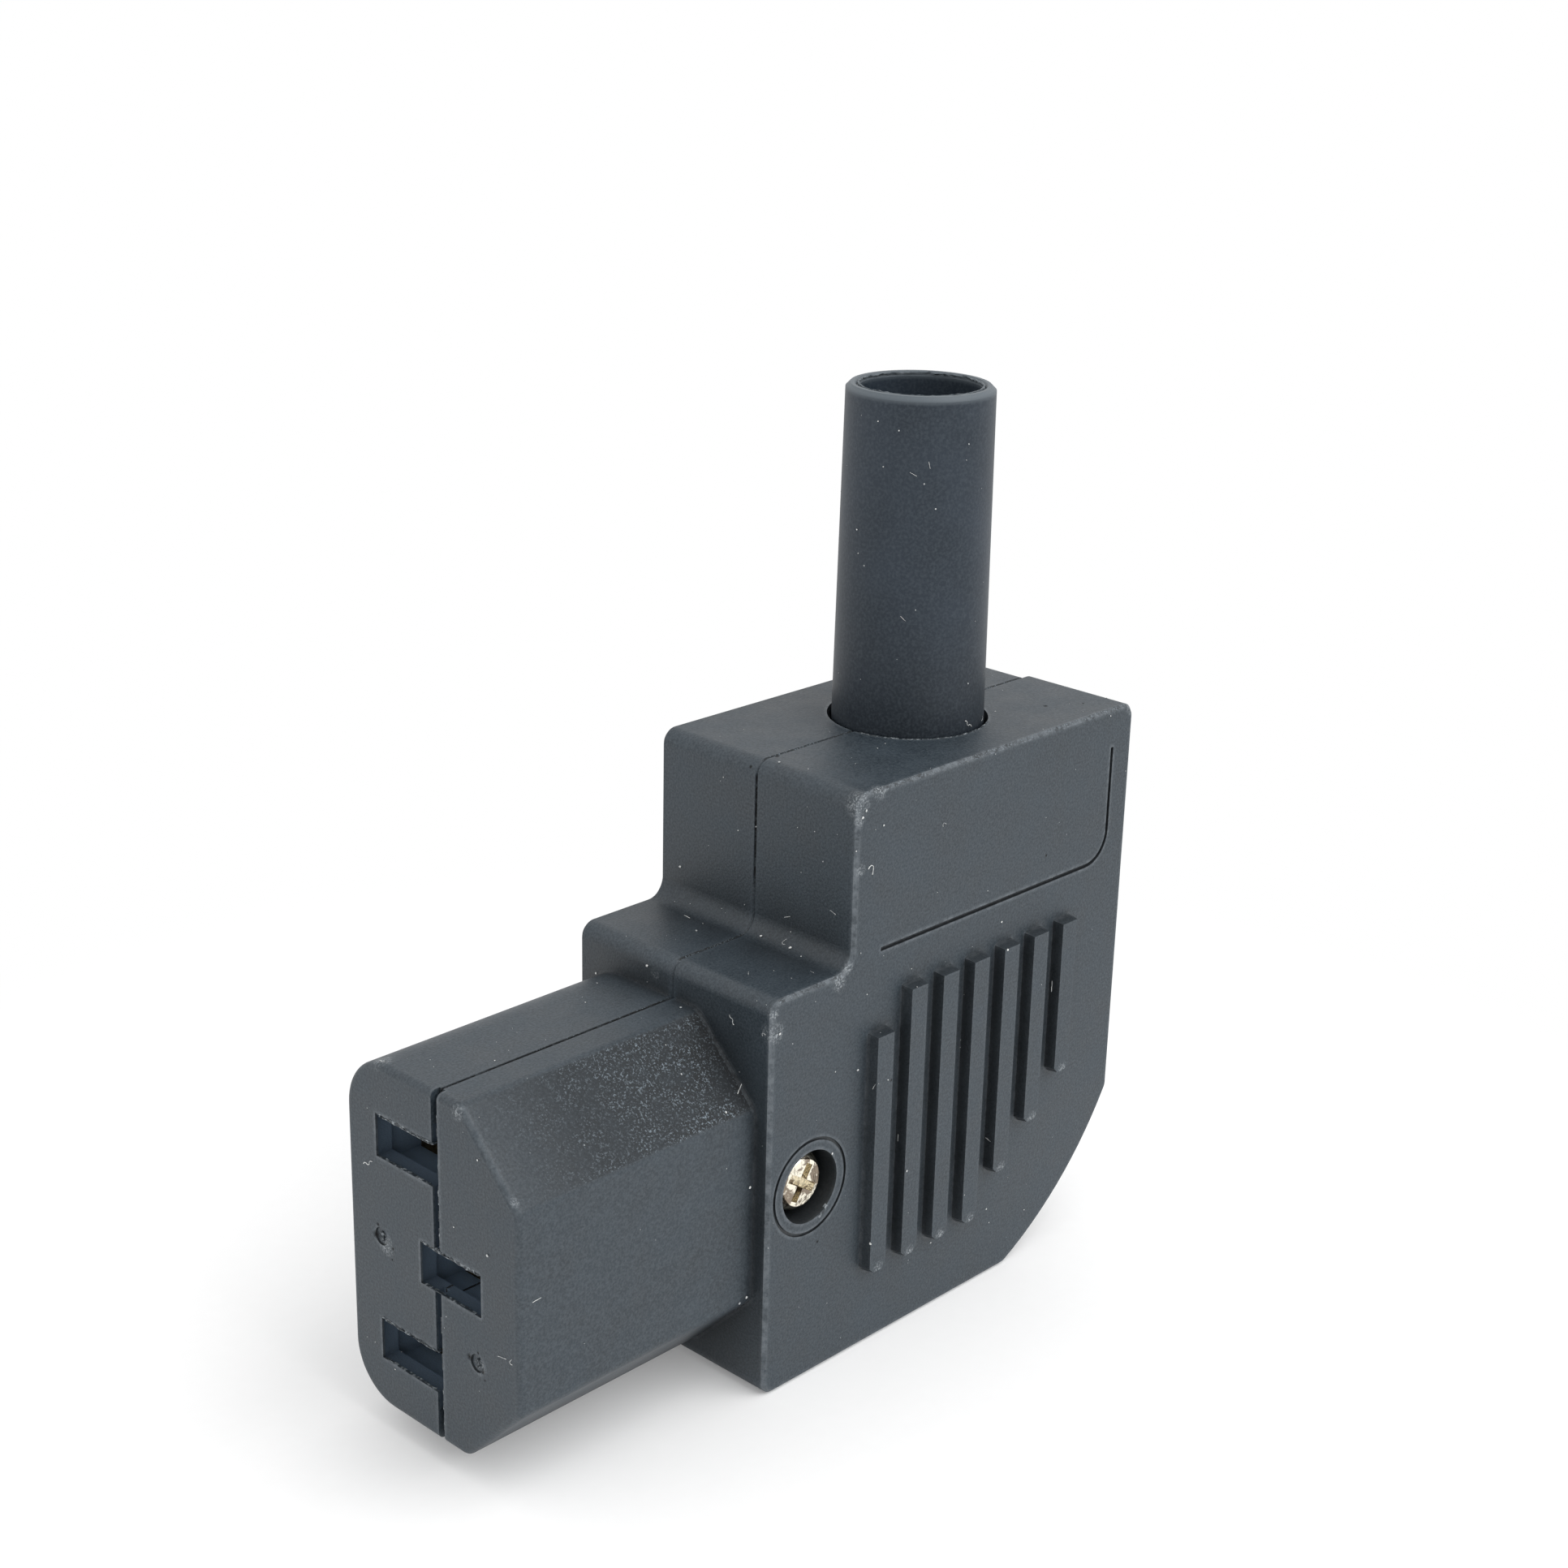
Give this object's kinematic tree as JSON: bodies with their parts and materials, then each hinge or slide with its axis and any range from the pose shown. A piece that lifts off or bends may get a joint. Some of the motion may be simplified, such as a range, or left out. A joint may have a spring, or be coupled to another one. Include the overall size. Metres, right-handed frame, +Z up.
{
  "type": "right-angle power cord connector",
  "caption": "Right-angle rewireable power connector: slotted nose for flat pins, split shell with grip ribs and a sunk cross screw, rubber cable sleeve on top.",
  "frame": {"origin": "middle of the part's bounding box in plan, at the body's flat bottom edge", "axes": "+X from the nose's tip to the back of the body, +Y from the front shell with the grip ribs to the rear shell, +Z up along the cable sleeve"},
  "size_m": [0.0544, 0.0182, 0.0615],
  "materials": {
    "shell_plastic": "fine spark-eroded grain",
    "sleeve_rubber": "smooth satin",
    "contact_brass": "rolled sheet",
    "plated_steel": "zinc plated",
    "bright_nickel": "bright nickel plated",
    "clamp_plastic": "moulded"
  },
  "bodies": {
    "root": {"rear_shell": "shell_plastic", "front_shell": "shell_plastic", "cable_sleeve": "sleeve_rubber", "line_contact": "contact_brass", "line_wire_clamp": "plated_steel", "line_terminal_nut": "contact_brass", "line_terminal_screw": "plated_steel", "neutral_contact": "contact_brass", "neutral_wire_clamp": "plated_steel", "neutral_terminal_nut": "contact_brass", "neutral_terminal_screw": "plated_steel", "earth_contact": "contact_brass", "earth_wire_clamp": "plated_steel", "earth_terminal_nut": "contact_brass", "earth_terminal_screw": "plated_steel", "cord_clamp": "clamp_plastic", "cord_clamp_screw_inner": "plated_steel", "cord_clamp_screw_outer": "plated_steel", "casing_screw": "bright_nickel", "casing_nut": "plated_steel"}
  },
  "joints": []
}
